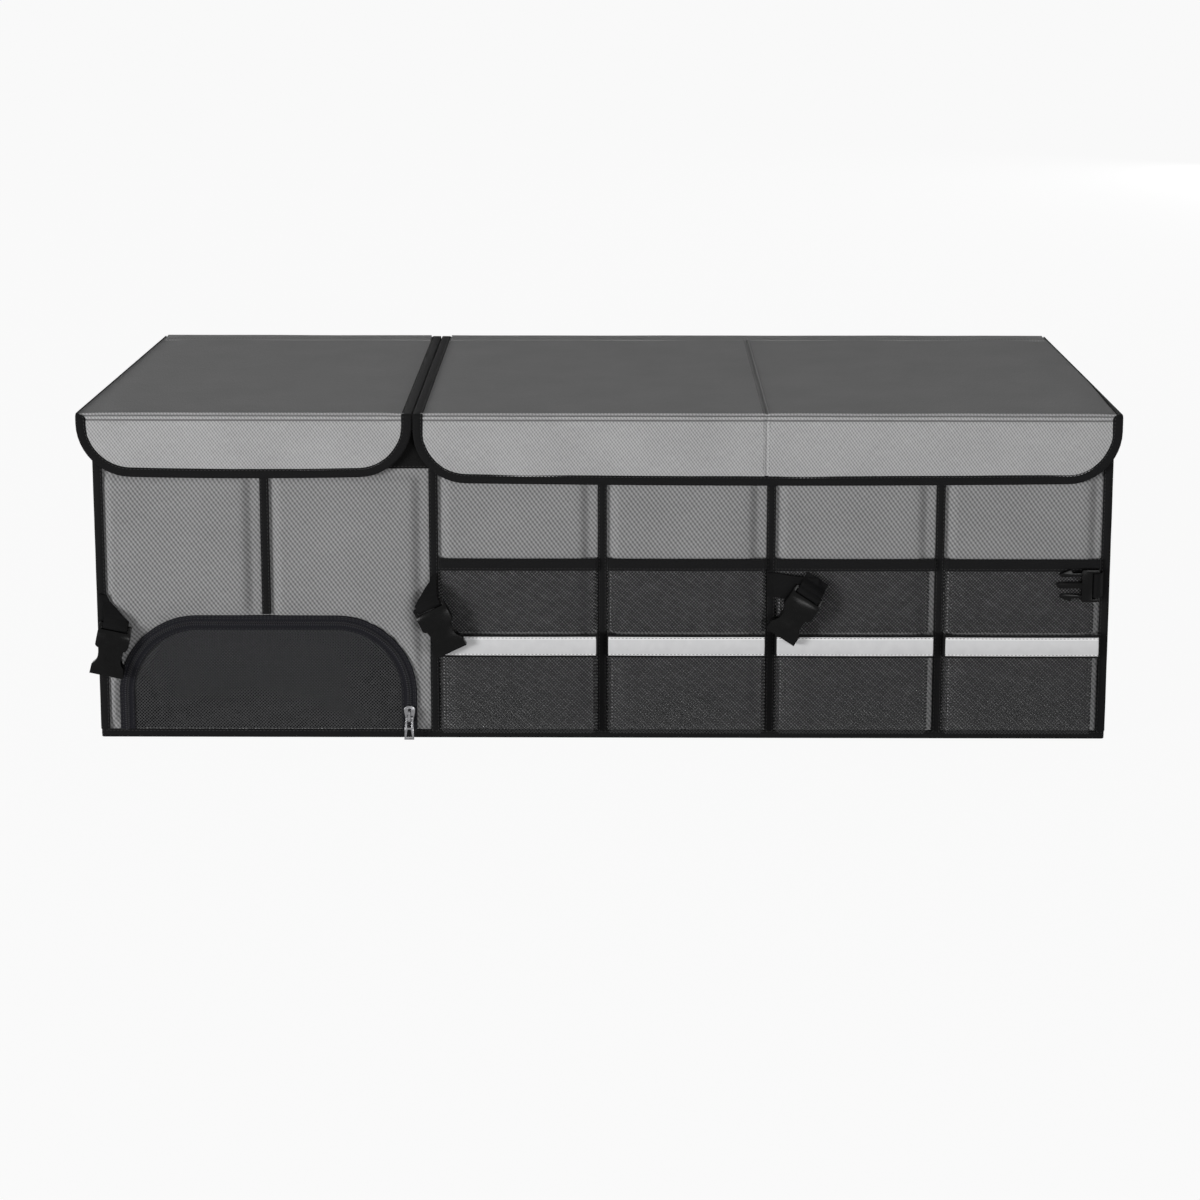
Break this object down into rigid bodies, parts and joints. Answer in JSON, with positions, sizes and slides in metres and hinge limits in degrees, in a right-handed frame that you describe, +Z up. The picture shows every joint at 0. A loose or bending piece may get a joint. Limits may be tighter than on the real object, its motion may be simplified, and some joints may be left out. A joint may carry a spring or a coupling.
{
  "type": "car trunk organizer",
  "caption": "Folding cloth trunk organizer with hinged lids and flaps, a zipped mesh shoe bay, mesh front pockets, a reflective strip and buckle straps.",
  "frame": {"origin": "middle of the flat underside, on the surface that it stands on", "axes": "+Z up, +X along the length to the right as seen from the pocket side, +Y from the pocket side to the back"},
  "size_m": [0.947, 0.4272, 0.2989],
  "materials": {
    "grey_cloth": "woven grey polyester over board",
    "lid_cloth": "woven grey polyester over board",
    "black_tape": "black ribbed binding tape",
    "zip_tape": "black zip tape and coil",
    "webbing": "black webbing",
    "pocket_mesh": "black polyester mesh",
    "lining": "dark nonwoven lining over board",
    "touch_fastener": "black hook and loop tape",
    "reflective_tape": "silver reflective tape",
    "buckle_plastic": "black moulded acetal",
    "zip_metal": "nickel-plated zinc"
  },
  "bodies": {
    "box": {"bottom_panel": "black_tape", "front_wall_left": "grey_cloth", "front_wall_right": "grey_cloth", "back_wall_left": "grey_cloth", "back_wall_right": "grey_cloth", "end_wall_left": "grey_cloth", "end_wall_right": "grey_cloth", "bay_wall": "lining", "base_board_left": "lining", "base_board_middle": "lining", "base_board_right": "lining", "divider": "lining", "shoe_shelf": "lining", "hem_binding": "black_tape", "rim_binding": "black_tape", "corner_binding_front_left": "black_tape", "corner_binding_front_right": "black_tape", "corner_binding_back_left": "black_tape", "corner_binding_back_right": "black_tape", "front_loop_band": "touch_fastener", "tape_shoe_bay": "black_tape", "tape_pockets_1": "black_tape", "tape_pockets_2": "black_tape", "tape_pockets_3": "black_tape", "tape_pockets_4": "black_tape", "upper_pocket_mesh": "pocket_mesh", "upper_pocket_binding": "black_tape", "lower_pocket_mesh_1": "pocket_mesh", "lower_pocket_mesh_2": "pocket_mesh", "lower_pocket_mesh_3": "pocket_mesh", "lower_pocket_mesh_4": "pocket_mesh", "lower_pocket_tape_1": "black_tape", "lower_pocket_tape_2": "black_tape", "lower_pocket_tape_3": "black_tape", "lower_pocket_tape_4": "black_tape", "reflective_strip": "reflective_tape", "zip_tape_outer": "zip_tape", "socket_left_end_strap": "webbing", "socket_bay_strap": "webbing", "socket_middle_strap": "webbing", "plug_right_end_strap": "webbing", "handle_left": "webbing", "handle_right": "webbing"},
    "lid_left": {"lid_left_cover": "lid_cloth", "lid_left_binding": "black_tape", "lid_left_hook_strip": "touch_fastener"},
    "lid_right": {"lid_right_cover": "lid_cloth", "lid_right_binding": "black_tape", "lid_right_hook_strip": "touch_fastener"},
    "shoe_door": {"door_mesh": "pocket_mesh", "zip_tape_inner": "zip_tape", "zip_slider": "zip_metal"},
    "zip_pull": {"zip_pull": "zip_metal"},
    "socket_left_end": {"socket_left_end": "buckle_plastic"},
    "socket_bay": {"socket_bay": "buckle_plastic"},
    "socket_middle": {"socket_middle": "buckle_plastic"},
    "plug_right_end": {"plug_right_end": "buckle_plastic"}
  },
  "joints": [
    {"name": "lid_left_hinge", "type": "hinge", "parent": "box", "child": "lid_left", "pos_m": [-0.31, 0.2005, 0.2989], "axis": [-1, 0, 0], "range_deg": [0, 110]},
    {"name": "lid_right_hinge", "type": "hinge", "parent": "box", "child": "lid_right", "pos_m": [0.145, 0.2005, 0.2989], "axis": [-1, 0, 0], "range_deg": [0, 110]},
    {"name": "shoe_door_hinge", "type": "hinge", "parent": "box", "child": "shoe_door", "pos_m": [-0.3, -0.2018, 0.0083], "axis": [1, 0, 0], "range_deg": [0, 88]},
    {"name": "zip_pull_swing", "type": "hinge", "parent": "shoe_door", "child": "zip_pull", "pos_m": [-0.173, -0.20765, 0.0206], "axis": [-1, 0, 0], "range_deg": [0, 100]},
    {"name": "socket_left_end_swing", "type": "hinge", "parent": "box", "child": "socket_left_end", "pos_m": [-0.434, -0.21, 0.106], "axis": [-0.9781, 0, 0.2079], "range_deg": [0, 90]},
    {"name": "socket_bay_swing", "type": "hinge", "parent": "box", "child": "socket_bay", "pos_m": [-0.154, -0.2195, 0.128], "axis": [-0.8988, 0, -0.4384], "range_deg": [0, 90]},
    {"name": "socket_middle_swing", "type": "hinge", "parent": "box", "child": "socket_middle", "pos_m": [0.183, -0.2195, 0.139], "axis": [-0.829, 0, 0.5592], "range_deg": [0, 90]},
    {"name": "plug_right_end_swing", "type": "hinge", "parent": "box", "child": "plug_right_end", "pos_m": [0.438, -0.213, 0.146], "axis": [0, 0, 1], "range_deg": [0, 90]}
  ]
}
